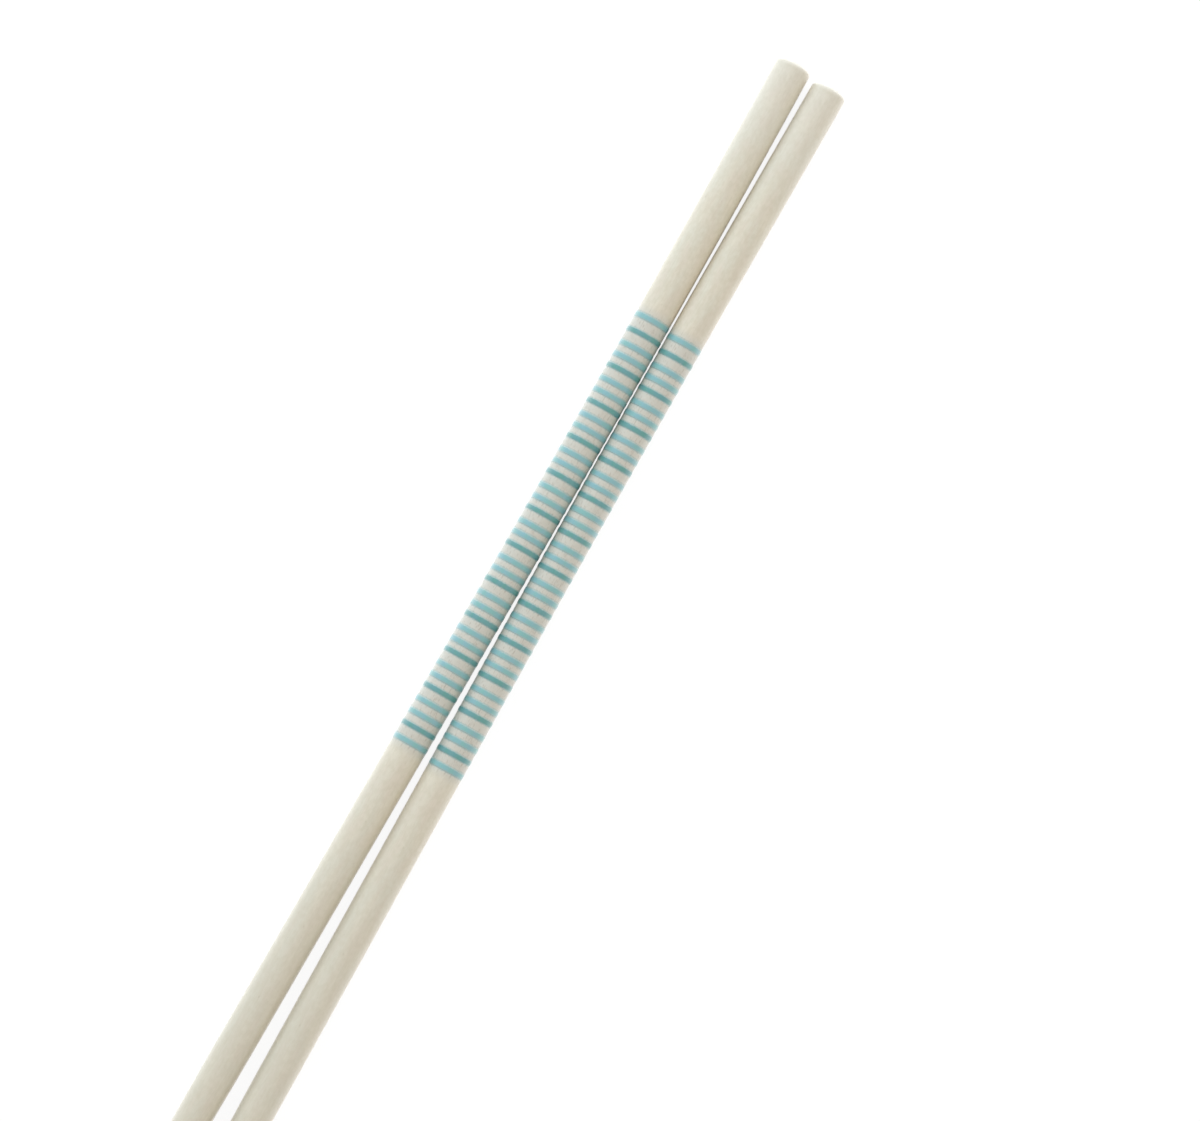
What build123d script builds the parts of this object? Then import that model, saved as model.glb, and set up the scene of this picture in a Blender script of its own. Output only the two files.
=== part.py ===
from build123d import *
import math
import os

# A pair of long bamboo cooking chopsticks, lying side by side as they would on a table.
# +Y points to the rear ends, which the hand holds, -Y to the tips, and +Z up. All sizes in millimetres.
# The origin is on the table, under the middle of the pair.

# One stick. A station is a distance along the stick from its rear end.
stick_length = 330.0
barrel_diameter = 7.5
taper_length = 92.0
tip_diameter = 4.0
rear_dome_radius = 5.5
tip_dome_radius = 2.6

# The natural bow of each stick: straight from the rear end, then one long arc, then straight to the tip
left_bow_start = 8.0
left_bow_length = 136.0
left_bow_radius = 6600.0
right_bow_start = 38.0
right_bow_length = 90.0
right_bow_radius = 5260.0
bow_steps = 6

# The painted lines, each a low bead round the barrel. Gaps are from centre to centre.
first_line_station = 60.0
light_line_width = 1.3
dark_line_width = 1.2
light_line_height = 0.05
dark_line_height = 0.07
line_flats = 24
group_count = 11
opening_gap = 3.4
after_dark_gap = 3.1
between_light_gap = 2.6
before_dark_gap = 2.5
last_group_spread = 0.25

# How the two sticks lie: nearest each other at one station, the right one a little nearer the tips
closest_station = 78.5
line_clearance = 0.11
right_stick_lead = 0.9

# Worked out from the sizes above
barrel_radius = barrel_diameter / 2
tip_radius = tip_diameter / 2
axis_height = barrel_radius + dark_line_height
axis_spacing = 2 * axis_height + line_clearance

LEFT, RIGHT = -1, 1


def point_on(path, station):
    """The point of a middle line at a station."""
    return path.position_at(station, PositionMode.LENGTH)


def place_on(path, station):
    """Where a solid made along -Y goes, to sit at a station and follow the middle line there."""
    heading = path.tangent_at(station, PositionMode.LENGTH)
    turn = math.degrees(math.atan2(heading.X, -heading.Y))
    return Location(point_on(path, station), (0, 0, turn))


def middle_line(side, bow_start, bow_length, bow_radius):
    """A stick's middle line along -Y, from its rear end at the origin, bowed towards the other stick."""
    bow_angle = math.degrees(bow_length / bow_radius)
    front_length = stick_length - bow_start - bow_length
    rear = Line((0, 0), (0, -bow_start))
    bow = JernArc(rear @ 1, rear % 1, bow_radius, side * bow_angle)
    front = Line(bow @ 1, bow @ 1 + (bow % 1) * front_length)
    return Wire([rear, bow, front])


def straight_runs(path, bow_stations):
    """The straight runs that a stick's barrel makes of its middle line, from one round to the next."""
    stations = [0, *bow_stations, stick_length]
    return Wire(Polyline([point_on(path, station) for station in stations]).edges())


def dome_height(rim_radius, dome_radius):
    """How far a dome of this rim stands out."""
    return dome_radius - math.sqrt(dome_radius**2 - rim_radius**2)


def make_rear_end(length):
    """The straight rear of a stick, with its low domed end."""
    rim = (barrel_radius, -dome_height(barrel_radius, rear_dome_radius))
    profile = make_face([
        RadiusArc((0, 0), rim, rear_dome_radius),
        Polyline(rim, (barrel_radius, -length), (0, -length), (0, 0)),
    ])
    return revolve(profile, axis=Axis.Y)


def make_tip():
    """The small dome that ends a stick, from its rim at the origin."""
    point = (0, -dome_height(tip_radius, tip_dome_radius))
    profile = make_face([
        RadiusArc((tip_radius, 0), point, tip_dome_radius),
        Polyline(point, (0, 0), (tip_radius, 0)),
    ])
    return revolve(profile, axis=Axis.Y)


def make_stick(path, bow_stations):
    """One stick of solid bamboo: its rear end, a bowed barrel that tapers at the front, and its tip."""
    tip_station = stick_length - dome_height(tip_radius, tip_dome_radius)
    rounds = [(station, barrel_radius) for station in bow_stations]
    rounds += [(stick_length - taper_length, barrel_radius), (tip_station, tip_radius)]
    discs = [(Plane.XZ * Circle(radius)).moved(place_on(path, station)) for station, radius in rounds]
    rear_end = make_rear_end(bow_stations[0])
    return rear_end + loft(discs, ruled=True) + make_tip().moved(place_on(path, tip_station))


def line_stations():
    """Stations of the light lines and of the dark ones.

    A light and a dark line open the row, then groups of two light and one dark follow.
    A light line ends it.
    """
    light = [first_line_station]
    dark = [first_line_station + opening_gap]
    for group in range(group_count):
        spread = last_group_spread if group == group_count - 1 else 0
        light.append(dark[-1] + after_dark_gap)
        light.append(light[-1] + between_light_gap + spread)
        dark.append(light[-1] + before_dark_gap + spread)
    light.append(dark[-1] + after_dark_gap)
    return light, dark


def flats(radius):
    """The outline of a line seen along the stick, with its flats at this radius."""
    return RegularPolygon(radius, line_flats, major_radius=False, rotation=180 / line_flats)


def make_line(width, height):
    """One painted line round the Y axis: a low ridge that lies on the barrel."""
    slope = math.degrees(math.atan2(height, width / 2))
    crest = Plane.XZ * flats(barrel_radius + height)
    ridge = extrude(crest, amount=width / 2, both=True, taper=slope)
    barrel = extrude(Plane.XZ * flats(barrel_radius), amount=width, both=True)
    return ridge - barrel


def lines_along(runs, stations, width, height):
    """All the lines of one colour on one stick."""
    line = make_line(width, height)
    return Compound([line.moved(place_on(runs, station)) for station in stations])


def make_side(name, side, bow_start, bow_length, bow_radius, lead):
    """One stick with its painted lines, on the table and beside the middle of the pair."""
    path = middle_line(side, bow_start, bow_length, bow_radius)
    bow_stations = [bow_start + bow_length * step / bow_steps for step in range(bow_steps + 1)]
    runs = straight_runs(path, bow_stations)
    light, dark = line_stations()
    nearest = Location((side * axis_spacing / 2, 0, axis_height))
    to_pair = nearest * place_on(path, closest_station - lead).inverse()
    return {
        f"{name}_stick": make_stick(path, bow_stations).moved(to_pair),
        f"{name}_light_lines": lines_along(runs, light, light_line_width, light_line_height).moved(to_pair),
        f"{name}_dark_lines": lines_along(runs, dark, dark_line_width, dark_line_height).moved(to_pair),
    }


pieces = {
    **make_side("left", LEFT, left_bow_start, left_bow_length, left_bow_radius, 0),
    **make_side("right", RIGHT, right_bow_start, right_bow_length, right_bow_radius, right_stick_lead),
}
middle = Compound(list(pieces.values())).bounding_box().center()
to_origin = Location((-middle.X, -middle.Y, 0))

os.makedirs("parts", exist_ok=True)
for name, piece in pieces.items():
    export_step(piece.moved(to_origin), f"parts/{name}.step")
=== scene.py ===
import math
import random
from collections import namedtuple

import bpy
from mathutils import Matrix, Vector


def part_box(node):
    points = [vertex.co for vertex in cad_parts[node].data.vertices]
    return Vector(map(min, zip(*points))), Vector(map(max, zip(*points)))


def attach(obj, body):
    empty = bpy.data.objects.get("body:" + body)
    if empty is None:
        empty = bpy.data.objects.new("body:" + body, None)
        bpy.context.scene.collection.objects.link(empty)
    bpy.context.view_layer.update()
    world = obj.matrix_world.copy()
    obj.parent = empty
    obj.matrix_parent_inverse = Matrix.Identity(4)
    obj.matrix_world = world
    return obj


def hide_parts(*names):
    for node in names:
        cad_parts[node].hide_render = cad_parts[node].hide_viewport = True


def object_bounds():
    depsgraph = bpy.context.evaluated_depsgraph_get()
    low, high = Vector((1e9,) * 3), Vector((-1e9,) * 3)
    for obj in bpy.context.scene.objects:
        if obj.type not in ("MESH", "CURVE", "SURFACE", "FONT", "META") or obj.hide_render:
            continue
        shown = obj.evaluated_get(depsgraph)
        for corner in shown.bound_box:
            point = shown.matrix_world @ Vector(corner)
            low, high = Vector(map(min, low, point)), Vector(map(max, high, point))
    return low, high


# A pair of bamboo cooking chopsticks on a white table, seen from above.
# The sticks are worked out in millimetres, and their meshes take them in metres. The table, the camera and
# the lamps are placed in metres. A station is a distance along a stick from its rear end.

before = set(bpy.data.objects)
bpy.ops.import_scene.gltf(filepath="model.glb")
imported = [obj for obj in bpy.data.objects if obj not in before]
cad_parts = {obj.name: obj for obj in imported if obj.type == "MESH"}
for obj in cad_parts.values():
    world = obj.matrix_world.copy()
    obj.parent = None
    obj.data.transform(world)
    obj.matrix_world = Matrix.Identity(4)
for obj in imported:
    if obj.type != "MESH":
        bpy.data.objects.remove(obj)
cad_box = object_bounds()

MM = 0.001
LEFT, RIGHT = -1, 1

# The sticks, with the same sizes as the solids apart from the rear dome, which is a little flatter here
stick_length = 330.0
barrel_radius = 3.75
tip_radius = 2.0
taper_length = 92.0
rear_dome_radius = 6.5
tip_dome_radius = 2.6
bow_start = {LEFT: 8.0, RIGHT: 38.0}
bow_length = {LEFT: 136.0, RIGHT: 90.0}
bow_radius = {LEFT: 6600.0, RIGHT: 5260.0}
closest_station = 78.5
lead = {LEFT: 0.0, RIGHT: 0.9}
light_line_height = 0.05
dark_line_height = 0.07
line_clearance = 0.11
axis_height = barrel_radius + dark_line_height
axis_spacing = 2 * axis_height + line_clearance

# What sanding leaves: soft rims, a taper that starts gently, and a barrel a hair out of round
rear_rim_radius = 0.9
tip_rim_radius = 0.5
taper_blend = 14.0
unevenness = 0.03
oval_turn, oval_twist = 0.9, 61.0
flat_turn, flat_twist = 2.1, 37.0
short_wave, long_wave = 17.0, 29.0

# The painted lines, as in the solids
first_line_station = 60.0
light_line_width = 1.3
dark_line_width = 1.2
group_count = 11
opening_gap = 3.4
after_dark_gap = 3.1
between_light_gap = 2.6
before_dark_gap = 2.5
last_group_spread = 0.25

# What the brush leaves: lines a little off their places and widths, and paint that creeps along the fibres
line_shift = 0.06
line_width_change = 0.04
bleed_reach = 0.4
brush_seed = 20

# Each line is a low bead with its root a little way in the wood
line_root = 0.05
bead_fullness = 4

# How finely the rounds, the barrel, the domes and the lines are divided
round_steps = 96
ring_spacing = 2.5
dome_steps = 10
line_half_steps = 3


# Middle lines

def bow_angle(side, station):
    """How far a stick's middle line has turned from its rear, at a station."""
    bowed = min(max(station - bow_start[side], 0), bow_length[side])
    return side * bowed / bow_radius[side]


def bow_point(side, station):
    """The point of the middle line at a station, with the rear end at the origin."""
    angle = abs(bow_angle(side, station))
    radius = bow_radius[side]
    before = min(station, bow_start[side])
    after = max(station - bow_start[side] - bow_length[side], 0)
    across = radius * (1 - math.cos(angle)) + after * math.sin(angle)
    along = before + radius * math.sin(angle) + after * math.cos(angle)
    return Vector((side * across, -along))


def middle_point(side, station):
    """The point of the middle line in the pair, and the direction towards the tip there."""
    nearest = closest_station - lead[side]
    turn = Matrix.Rotation(-bow_angle(side, nearest), 2)
    point = turn @ (bow_point(side, station) - bow_point(side, nearest))
    angle = bow_angle(side, station) - bow_angle(side, nearest)
    return point + Vector((side * axis_spacing / 2, 0)), Vector((math.sin(angle), -math.cos(angle)))


# Where the pair lies, from the solids
left_low, left_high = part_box("left_stick")
left_widest = min(
    middle_point(LEFT, station)[0].x - barrel_radius
    for station in (0, stick_length - taper_length)
)
pair_shift = Vector((
    left_low.x / MM - left_widest,
    left_high.y / MM - middle_point(LEFT, 0)[0].y,
))
floor_height = cad_box[0][2]
axis_level = floor_height / MM + axis_height


# Round forms

def dome_profile(rim_radius, dome_radius, fillet):
    """Stations and radii of a low dome with a soft rim, from its top at station 0."""
    rise = math.sqrt((dome_radius - fillet) ** 2 - (rim_radius - fillet) ** 2)
    rim_angle = math.atan2(rim_radius - fillet, rise)
    points = []
    for step in range(1, dome_steps + 1):
        angle = rim_angle * step / dome_steps
        points.append((dome_radius * (1 - math.cos(angle)), dome_radius * math.sin(angle)))
    for step in range(1, dome_steps + 1):
        angle = rim_angle + (math.pi / 2 - rim_angle) * step / dome_steps
        points.append((
            dome_radius - rise - fillet * math.cos(angle),
            rim_radius - fillet + fillet * math.sin(angle),
        ))
    return points


def barrel_radius_at(station):
    """The radius of the barrel and of the taper, with a gentle start to the taper."""
    slope = (barrel_radius - tip_radius) / taper_length
    past = station - (stick_length - taper_length)
    if past <= -taper_blend:
        return barrel_radius
    if past >= taper_blend:
        return barrel_radius - slope * past
    return barrel_radius - slope * (past + taper_blend) ** 2 / (4 * taper_blend)


def out_of_round(side, station, angle):
    """How much wood is missing from a true round, never negative."""
    oval = math.sin(2 * angle + oval_turn * side + station / oval_twist)
    flat = math.sin(3 * angle + flat_turn * side - station / flat_twist)
    wave = math.sin(station / short_wave + side) * math.sin(station / long_wave + 2 * side)
    return unevenness * (3 + oval + flat + wave) / 6


def ring_points(side, station, radius_of):
    """One ring of points round the middle line, and each point's place in the grain."""
    middle, heading = middle_point(side, station)
    middle = middle + pair_shift
    points, grain = [], []
    for step in range(round_steps):
        angle = 2 * math.pi * step / round_steps
        radius = radius_of(angle)
        outwards, up = radius * math.cos(angle), radius * math.sin(angle)
        x = middle.x - heading.y * outwards
        y = middle.y + heading.x * outwards
        points.append(Vector((x, y, axis_level + up)))
        grain.append((outwards, station, up))
    return points, grain


def add_piece(name, node, points, faces, attributes):
    """A smooth mesh that stands for a solid and rides on the same body."""
    mesh = bpy.data.meshes.new(name)
    mesh.from_pydata([point * MM for point in points], [], faces)
    for key, (kind, values) in attributes.items():
        attribute = mesh.attributes.new(key, kind, "POINT")
        if kind == "FLOAT_VECTOR":
            attribute.data.foreach_set("vector", [number for value in values for number in value])
        else:
            attribute.data.foreach_set("value", values)
    mesh.polygons.foreach_set("use_smooth", [True] * len(mesh.polygons))
    mesh.update()
    piece = bpy.data.objects.new(name, mesh)
    bpy.context.scene.collection.objects.link(piece)
    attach(piece, "root")
    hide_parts(node)
    return piece


def joined_rings(first, second):
    """The faces between two rings, given by the number of each ring's first point."""
    faces = []
    for step in range(round_steps):
        after = (step + 1) % round_steps
        faces.append((first + step, first + after, second + after, second + step))
    return faces


def make_stick(name, side, lines):
    """One stick as a round skin along its middle line, closed by a point at each end."""
    rear = dome_profile(barrel_radius, rear_dome_radius, rear_rim_radius)
    tip = dome_profile(tip_radius, tip_dome_radius, tip_rim_radius)
    tip = [(stick_length - station, radius) for station, radius in reversed(tip)]
    barrel_start, barrel_end = rear[-1][0], tip[0][0]
    ring_count = round((barrel_end - barrel_start) / ring_spacing)
    bleeds = bleed_stations(lines)
    stations = set(bleeds)
    for step in range(1, ring_count):
        station = barrel_start + (barrel_end - barrel_start) * step / ring_count
        if not any(low <= station <= high for low, high in zip(*bleed_limits(lines))):
            stations.add(station)
    profile = rear + [(station, barrel_radius_at(station)) for station in sorted(stations)] + tip

    points, grain, bleed, faces = [], [], [], []
    for station, radius in profile:
        share = radius / barrel_radius
        ring, ring_grain = ring_points(
            side, station, lambda angle: radius - share * out_of_round(side, station, angle)
        )
        if points:
            faces += joined_rings(len(points) - round_steps, len(points))
        points += ring
        grain += ring_grain
        bleed += [bleeds.get(station, 0)] * round_steps
    for station, ring_start in ((0, 0), (stick_length, len(points) - round_steps)):
        middle = middle_point(side, station)[0] + pair_shift
        for step in range(round_steps):
            after = (step + 1) % round_steps
            fan = (ring_start + step, ring_start + after, len(points))
            faces.append(fan if station else fan[::-1])
        points.append(Vector((middle.x, middle.y, axis_level)))
        grain.append((0, station, 0))
        bleed.append(0)
    return add_piece(
        name, name.replace("_wood", ""), points, faces,
        {"grain": ("FLOAT_VECTOR", grain), "bleed": ("FLOAT", bleed)},
    )


def line_stations():
    """Stations of the light lines and of the dark ones."""
    light = [first_line_station]
    dark = [first_line_station + opening_gap]
    for group in range(group_count):
        spread = last_group_spread if group == group_count - 1 else 0
        light.append(dark[-1] + after_dark_gap)
        light.append(light[-1] + between_light_gap + spread)
        dark.append(light[-1] + before_dark_gap + spread)
    light.append(dark[-1] + after_dark_gap)
    return light, dark


def brushed(stations, width, draw):
    """The middle and the width of each line, as a brush leaves them on a turning stick."""
    return [
        (
            station + draw.uniform(-line_shift, line_shift),
            width * (1 + draw.uniform(-line_width_change, line_width_change)),
        )
        for station in stations
    ]


def bleed_limits(lines):
    """Where the paint that has crept along the fibres starts and ends at each line."""
    reach = [width / 2 + bleed_reach for _, width in lines]
    return (
        [centre - far for (centre, _), far in zip(lines, reach)],
        [centre + far for (centre, _), far in zip(lines, reach)],
    )


def bleed_stations(lines):
    """Stations of the rings that the crept paint needs, with its strength there."""
    strengths = {}
    for (centre, width), low, high in zip(lines, *bleed_limits(lines)):
        strengths.update({low: 0, centre - width / 2: 1, centre + width / 2: 1, high: 0})
    return strengths


def make_lines(name, node, side, lines, height):
    """All the lines of one colour on one stick, each a low soft bead with its root in the wood."""
    points, grain, across, faces = [], [], [], []
    for centre, width in lines:
        section = [(-1, -line_root)]
        for step in range(-line_half_steps, line_half_steps + 1):
            share = step / line_half_steps
            section.append((share, height * (1 - share**bead_fullness)))
        section.append((1, -line_root))
        band_start = len(points)
        for share, rise in section:
            station = centre + share * width / 2
            ring, ring_grain = ring_points(
                side,
                station,
                lambda angle: barrel_radius - out_of_round(side, station, angle) + rise,
            )
            points += ring
            grain += ring_grain
            across += [abs(share)] * round_steps
        for row in range(len(section)):
            after = (row + 1) % len(section)
            faces += joined_rings(band_start + row * round_steps, band_start + after * round_steps)
    return add_piece(
        name, node, points, faces,
        {"grain": ("FLOAT_VECTOR", grain), "across": ("FLOAT", across)},
    )


# Materials

def linear(red, green, blue):
    """A colour given in display values from 0 to 255, as the shaders take it."""
    def channel(value):
        share = value / 255
        return share / 12.92 if share <= 0.04045 else ((share + 0.055) / 1.055) ** 2.4
    return (channel(red), channel(green), channel(blue), 1.0)


# A mix node has its own sockets for each kind of data, and these are the ones for colours
MIX_FIRST, MIX_SECOND, MIX_RESULT = 6, 7, 2


class Nodes:
    """A material's node tree, with short ways to add what the finishes need."""

    def __init__(self, name):
        self.material = bpy.data.materials.new(name)
        self.material.use_nodes = True
        self.tree = self.material.node_tree
        self.shader = self.tree.nodes["Principled BSDF"]

    def add(self, kind, **settings):
        node = self.tree.nodes.new(kind)
        for key, value in settings.items():
            setattr(node, key, value)
        return node

    def feed(self, socket, value):
        if isinstance(value, bpy.types.NodeSocket):
            self.tree.links.new(value, socket)
        else:
            socket.default_value = value

    def attribute(self, name, output):
        return self.add("ShaderNodeAttribute", attribute_name=name).outputs[output]

    def stretched(self, vector, scale):
        node = self.add("ShaderNodeVectorMath", operation="MULTIPLY")
        self.feed(node.inputs[0], vector)
        node.inputs[1].default_value = scale
        return node.outputs["Vector"]

    def noise(self, vector, detail=2.0):
        node = self.add("ShaderNodeTexNoise")
        self.feed(node.inputs["Vector"], vector)
        node.inputs["Scale"].default_value = 1.0
        node.inputs["Detail"].default_value = detail
        return node.outputs["Fac"]

    def cells(self, vector):
        node = self.add("ShaderNodeTexVoronoi", feature="SMOOTH_F1")
        self.feed(node.inputs["Vector"], vector)
        node.inputs["Scale"].default_value = 1.0
        return node.outputs["Distance"]

    def ranged(self, value, low, high, to_low=0.0, to_high=1.0):
        node = self.add("ShaderNodeMapRange", interpolation_type="SMOOTHSTEP")
        self.feed(node.inputs["Value"], value)
        node.inputs["From Min"].default_value = low
        node.inputs["From Max"].default_value = high
        node.inputs["To Min"].default_value = to_low
        node.inputs["To Max"].default_value = to_high
        return node.outputs["Result"]

    def patches(self, grain, pattern, detail=2.0):
        """Soft patches from 0 to 1 that follow the grain."""
        values = self.noise(self.stretched(grain, pattern.scale), detail)
        return self.ranged(values, pattern.low, pattern.high)

    def maths(self, operation, first, second):
        node = self.add("ShaderNodeMath", operation=operation)
        self.feed(node.inputs[0], first)
        self.feed(node.inputs[1], second)
        return node.outputs["Value"]

    def plus(self, first, second):
        return self.maths("ADD", first, second)

    def times(self, first, second):
        return self.maths("MULTIPLY", first, second)

    def mixed(self, share, first, second):
        node = self.add("ShaderNodeMix", data_type="RGBA")
        self.feed(node.inputs["Factor"], share)
        self.feed(node.inputs[MIX_FIRST], first)
        self.feed(node.inputs[MIX_SECOND], second)
        return node.outputs[MIX_RESULT]

    def coated(self, weight):
        self.shader.inputs["Coat Weight"].default_value = weight
        self.shader.inputs["Coat Roughness"].default_value = coat_roughness

    def bumped(self, height, strength, distance):
        node = self.add("ShaderNodeBump")
        node.inputs["Strength"].default_value = strength
        node.inputs["Distance"].default_value = distance * MM
        self.feed(node.inputs["Height"], height)
        self.feed(self.shader.inputs["Normal"], node.outputs["Normal"])


# The colours of the wood, of painted light and shade on it, and of the thin paint that creeps into it
cream = linear(227, 219, 200)
tan = linear(208, 200, 177)
cool = linear(219, 217, 202)
rosy = linear(222, 209, 192)
speck = linear(172, 160, 138)
stained = linear(204, 203, 194)
# A pale tone painted on as light: a painted highlight on the rear dome and painted light on the rear end
painted_light_tone = linear(232, 230, 225)
# A darker tone painted on as shade towards the tips
painted_shade_tone = linear(200, 194, 177)
fleck = linear(150, 136, 118)
crept = linear(130, 176, 178)
stain_share = 0.75
creep_strength = 0.5
creep_unevenness = 0.4

# The patterns in the wood and in the paint: how often each repeats in a millimetre (outwards, along the
# stick and up), the noise values between which it changes, and how strongly it shows
Pattern = namedtuple("Pattern", "scale low high share", defaults=[1.0])
bundles_in_wood = Pattern((1.5, 0.03, 1.5), 0.1, 0.5, 0.08)
fibres_in_wood = Pattern((4.5, 0.35, 4.5), 0.38, 0.66, 0.2)
pores_in_wood = Pattern((1.3, 0.9, 1.3), 0.35, 0.65, 0.3)
cool_patches = Pattern((0.3, 0.09, 0.3), 0.35, 0.65, 0.45)
rosy_patches = Pattern((0.55, 0.16, 0.55), 0.4, 0.68, 0.45)
specks_in_wood = Pattern((2.6, 0.9, 2.6), 0.74, 0.8, 0.3)
flecks_in_stain = Pattern((5.0, 0.9, 5.0), 0.54, 0.7, 0.4)
deep_patches = Pattern((0.7, 0.25, 0.7), 0.35, 0.68)
ragged_scale = (2.2, 2.2, 2.2)

# The values that plain noise mostly stays between
noise_spread = (0.3, 0.7)

# Where painted light and shade change the tone along a stick: the stations where the change starts and
# ends, and how strong it is
Stretch = namedtuple("Stretch", "start end share")
# A painted highlight on the rear dome
painted_dome_highlight = Stretch(0.5, 1.8, 0.3)
# Painted light on the rear end of the barrel
painted_rear_light = Stretch(4, 34, 0.2)
# Painted shade towards the tip
painted_front_shade = Stretch(150, 210, 0.25)
zone_blend = 3.0

# The paint thins out towards the edges of a line, over this share of its half width. Its edge is ragged
# and follows the fibres, and the streaks of the wood show through a little.
cover_change = 0.62
ragged_share = 0.35
fibre_share = 0.12
bare_share = 0.16

# The surfaces
wood_roughness = (0.36, 0.5)
paint_roughness = (0.3, 0.42)
wood_coat, paint_coat = 0.7, 0.8
coat_roughness = 0.3


def lined_zone(nodes, station):
    """1 where the painted lines are and 0 towards both ends, with a soft change between."""
    last_line = max(line_stations()[0])
    begins = nodes.ranged(station, first_line_station - zone_blend, first_line_station)
    ends = nodes.ranged(station, last_line, last_line + zone_blend, 1, 0)
    return nodes.times(begins, ends)


def wood_grain(nodes, grain):
    """The bamboo's colour, its streaks and its fibres, from each point's place in the grain, with painted
    light at the rear and painted shade towards the tip.
    """
    parts = nodes.add("ShaderNodeSeparateXYZ")
    nodes.feed(parts.inputs["Vector"], grain)
    station = parts.outputs["Y"]
    cells = nodes.cells(nodes.stretched(grain, bundles_in_wood.scale))
    bundles = nodes.ranged(cells, bundles_in_wood.low, bundles_in_wood.high, 1, 0)
    fibres = nodes.patches(grain, fibres_in_wood, 3.0)
    pores = nodes.patches(grain, pores_in_wood)
    broad = nodes.patches(grain, cool_patches)
    warm = nodes.patches(grain, rosy_patches)
    specks = nodes.patches(grain, specks_in_wood, 1.0)
    flecks = nodes.patches(grain, flecks_in_stain)
    streaks = nodes.plus(
        nodes.times(bundles, bundles_in_wood.share), nodes.times(fibres, fibres_in_wood.share)
    )
    streaks = nodes.plus(streaks, nodes.times(pores, pores_in_wood.share))

    ground = nodes.mixed(nodes.times(broad, cool_patches.share), cream, cool)
    ground = nodes.mixed(nodes.times(warm, rosy_patches.share), ground, rosy)
    ground = nodes.mixed(streaks, ground, tan)
    ground = nodes.mixed(nodes.times(specks, specks_in_wood.share), ground, speck)
    # Painted light: a painted highlight on the rear dome and a paler rear end
    painted_lightness = nodes.plus(
        nodes.ranged(station, painted_rear_light.start, painted_rear_light.end, painted_rear_light.share, 0),
        nodes.ranged(station, painted_dome_highlight.start, painted_dome_highlight.end, painted_dome_highlight.share, 0),
    )
    ground = nodes.mixed(painted_lightness, ground, painted_light_tone)
    # Painted shade: darker towards the tip
    painted_shading = nodes.ranged(station, painted_front_shade.start, painted_front_shade.end, 0, painted_front_shade.share)
    ground = nodes.mixed(painted_shading, ground, painted_shade_tone)
    lined = lined_zone(nodes, station)
    ground = nodes.mixed(nodes.times(lined, stain_share), ground, stained)
    fleck_amount = nodes.times(flecks, nodes.times(lined, flecks_in_stain.share))
    ground = nodes.mixed(fleck_amount, ground, fleck)
    return ground, streaks, fibres


def crept_paint(nodes, ground, fibres, amount):
    """The wood under and beside a line, tinted by thin paint that follows the fibres."""
    share = nodes.plus(amount, nodes.times(fibres, creep_unevenness))
    share = nodes.ranged(share, creep_unevenness, 1 + creep_unevenness / 2, 0, creep_strength)
    return nodes.mixed(share, ground, crept)


def bamboo_finish():
    nodes = Nodes("sanded_bamboo")
    ground, streaks, fibres = wood_grain(nodes, nodes.attribute("grain", "Vector"))
    ground = crept_paint(nodes, ground, fibres, nodes.attribute("bleed", "Fac"))
    nodes.feed(nodes.shader.inputs["Base Color"], ground)
    nodes.feed(nodes.shader.inputs["Roughness"], nodes.ranged(fibres, 0, 1, *wood_roughness))
    nodes.coated(wood_coat)
    nodes.bumped(streaks, strength=0.25, distance=0.03)
    return nodes.material


def paint_finish(name, colour, deep, edge_start):
    """Paint over the wood. Its cover starts to thin at edge_start, a share of a line's half width."""
    nodes = Nodes(name)
    grain = nodes.attribute("grain", "Vector")
    ground, streaks, fibres = wood_grain(nodes, grain)
    ragged = nodes.noise(nodes.stretched(grain, ragged_scale), 3.0)
    worn = nodes.plus(nodes.times(ragged, ragged_share), nodes.times(fibres, fibre_share))
    edge = nodes.plus(nodes.attribute("across", "Fac"), worn)
    cover = nodes.ranged(edge, edge_start, edge_start + cover_change, 1, 0)
    ground = crept_paint(nodes, ground, fibres, 1.0)
    paint = nodes.mixed(nodes.patches(grain, deep_patches), colour, deep)
    paint = nodes.mixed(nodes.times(streaks, bare_share), paint, ground)
    nodes.feed(nodes.shader.inputs["Base Color"], nodes.mixed(cover, ground, paint))
    roughness = nodes.ranged(ragged, *noise_spread, *paint_roughness)
    nodes.feed(nodes.shader.inputs["Roughness"], roughness)
    nodes.coated(paint_coat)
    nodes.bumped(nodes.plus(streaks, ragged), strength=0.2, distance=0.02)
    return nodes.material


# The pieces
light_stations, dark_stations = line_stations()
wood = bamboo_finish()
light_paint = paint_finish(
    "light_line_paint", colour=linear(132, 182, 189), deep=linear(128, 184, 181), edge_start=0.66
)
dark_paint = paint_finish(
    "dark_line_paint", colour=linear(93, 154, 157), deep=linear(85, 154, 147), edge_start=0.74
)
for name, side in (("left", LEFT), ("right", RIGHT)):
    draw = random.Random(brush_seed + side)
    light_lines = brushed(light_stations, light_line_width, draw)
    dark_lines = brushed(dark_stations, dark_line_width, draw)
    stick = make_stick(f"{name}_stick_wood", side, light_lines + dark_lines)
    light = make_lines(
        f"{name}_light_line_paint", f"{name}_light_lines",
        side, light_lines, light_line_height,
    )
    dark = make_lines(
        f"{name}_dark_line_paint", f"{name}_dark_lines",
        side, dark_lines, dark_line_height,
    )
    for piece, material in ((stick, wood), (light, light_paint), (dark, dark_paint)):
        piece.data.materials.append(material)


# The table is white. To the camera and in reflections it also glows, without lighting the sticks, and the
# camera sees only a small part of the light that falls on it, so the shadow round the sticks stays faint.
table_size = 8.0
table_glow = 0.905
table_white = linear(238, 238, 238)
table_seen = (0.13, 0.13, 0.13, 1.0)
table_speckle = (40, 40, 40)
table_roughness = (0.75, 0.85)


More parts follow.
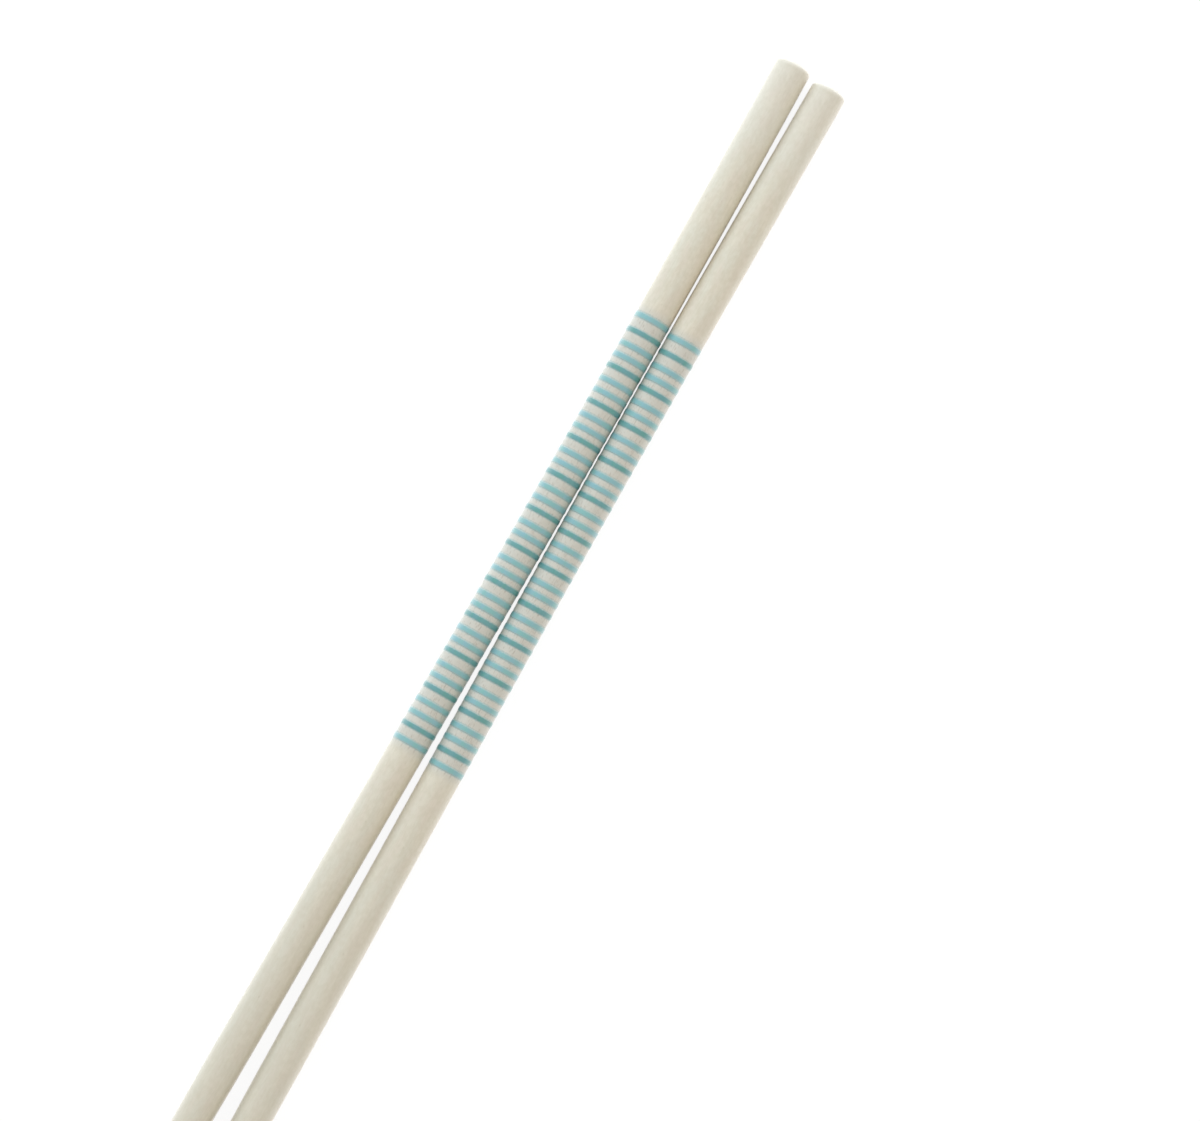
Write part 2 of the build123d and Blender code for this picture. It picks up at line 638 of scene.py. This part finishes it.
def bright_for_eye(tree):
    """A factor that is 1 for what the camera, a reflection or glass sees directly, and 0 for light."""
    path = tree.nodes.new("ShaderNodeLightPath")
    total = path.outputs["Is Camera Ray"]
    for key in ("Is Glossy Ray", "Is Transmission Ray"):
        node = tree.nodes.new("ShaderNodeMath")
        node.operation = "MAXIMUM"
        tree.links.new(total, node.inputs[0])
        tree.links.new(path.outputs[key], node.inputs[1])
        total = node.outputs["Value"]
    return total


def table_finish():
    nodes = Nodes("white_table")
    place = nodes.add("ShaderNodeTexCoord").outputs["Object"]
    speckle = nodes.noise(nodes.stretched(place, table_speckle))
    roughness = nodes.ranged(speckle, *noise_spread, *table_roughness)
    nodes.feed(nodes.shader.inputs["Roughness"], roughness)
    by_camera = nodes.add("ShaderNodeLightPath").outputs["Is Camera Ray"]
    nodes.feed(nodes.shader.inputs["Base Color"], nodes.mixed(by_camera, table_white, table_seen))
    nodes.shader.inputs["Emission Color"].default_value = (1, 1, 1, 1)
    glow = nodes.times(bright_for_eye(nodes.tree), table_glow)
    nodes.feed(nodes.shader.inputs["Emission Strength"], glow)
    return nodes.material


table_mesh = bpy.data.meshes.new("table")
half = table_size / 2
table_mesh.from_pydata(
    [(x, y, floor_height) for x, y in ((-half, -half), (half, -half), (half, half), (-half, half))],
    [], [(0, 1, 2, 3)],
)
table = bpy.data.objects.new("table", table_mesh)
table_mesh.materials.append(table_finish())
bpy.context.scene.collection.objects.link(table)

# The camera looks almost straight down. Its frame is counted in pixels of this size in millimetres, and the
# closest pixel is where the sticks come nearest each other.
frame_width_px, frame_height_px = 1200, 1121
pixel_size = 0.2
closest_pixel = Vector((623.4, 411.3))
camera_roll = math.radians(29.465)
camera_tilt = math.radians(3.4)
camera_distance = 1.25
sensor_width = 36.0

flat_right = Vector((math.cos(camera_roll), math.sin(camera_roll), 0))
flat_up = Vector((-math.sin(camera_roll), math.cos(camera_roll), 0))
closest_point = middle_point(LEFT, closest_station)[0] + pair_shift + Vector((axis_spacing / 2, 0))
aim_px = Vector((frame_width_px / 2, frame_height_px / 2)) - closest_pixel
aim = Vector((closest_point.x, closest_point.y, axis_level))
aim = (aim + (flat_right * aim_px.x - flat_up * aim_px.y) * pixel_size) * MM
camera_back = Vector((0, 0, 1)) * math.cos(camera_tilt) - flat_up * math.sin(camera_tilt)
camera_up = flat_up * math.cos(camera_tilt) + Vector((0, 0, 1)) * math.sin(camera_tilt)

camera_data = bpy.data.cameras.new("camera")
camera_data.sensor_fit = "HORIZONTAL"
camera_data.sensor_width = sensor_width
camera_data.lens = sensor_width * camera_distance / (frame_width_px * pixel_size * MM)
camera_data.clip_start = 0.01
camera_data.clip_end = 50
camera = bpy.data.objects.new("camera", camera_data)
camera.matrix_world = Matrix.Translation(aim + camera_back * camera_distance) @ Matrix((
    flat_right, camera_up, camera_back,
)).transposed().to_4x4()
bpy.context.scene.collection.objects.link(camera)
bpy.context.scene.camera = camera


# Soft light: a cool lamp past the top left of the picture, a weaker warm one on its right, and a pale
# surround

def add_lamp(name, towards, distance, size, power, colour):
    """A square lamp that faces the pair."""
    data = bpy.data.lights.new(name, "AREA")
    data.shape = "SQUARE"
    data.size = size
    data.energy = power
    data.color = colour
    lamp = bpy.data.objects.new(name, data)
    lamp.visible_glossy = False
    towards = towards.normalized()
    lamp.location = aim + towards * distance
    lamp.rotation_euler = towards.to_track_quat("Z", "Y").to_euler()
    bpy.context.scene.collection.objects.link(lamp)


up = Vector((0, 0, 1))
add_lamp(
    "key_lamp", towards=up * 0.65 - flat_right * 0.8 + flat_up * 1.4,
    distance=1.5, size=1.0, power=13, colour=(0.76, 0.89, 1.0),
)
add_lamp(
    "fill_lamp", towards=up * 0.9 + flat_right + flat_up * 0.4,
    distance=1.6, size=1.0, power=5.6, colour=(1.0, 0.9, 0.74),
)

# The surround is full white where it is seen, also in reflections, and weaker as a light
surround_level = 0.62
world = bpy.data.worlds.new("pale_surround")
bpy.context.scene.world = world
world.use_nodes = True
background = world.node_tree.nodes["Background"]
background.inputs["Color"].default_value = (1, 1, 1, 1)
strength = world.node_tree.nodes.new("ShaderNodeMapRange")
world.node_tree.links.new(bright_for_eye(world.node_tree), strength.inputs["Value"])
strength.inputs["To Min"].default_value = surround_level
strength.inputs["To Max"].default_value = 1.0
world.node_tree.links.new(strength.outputs["Result"], background.inputs["Strength"])

bpy.context.scene.view_settings.view_transform = "Standard"
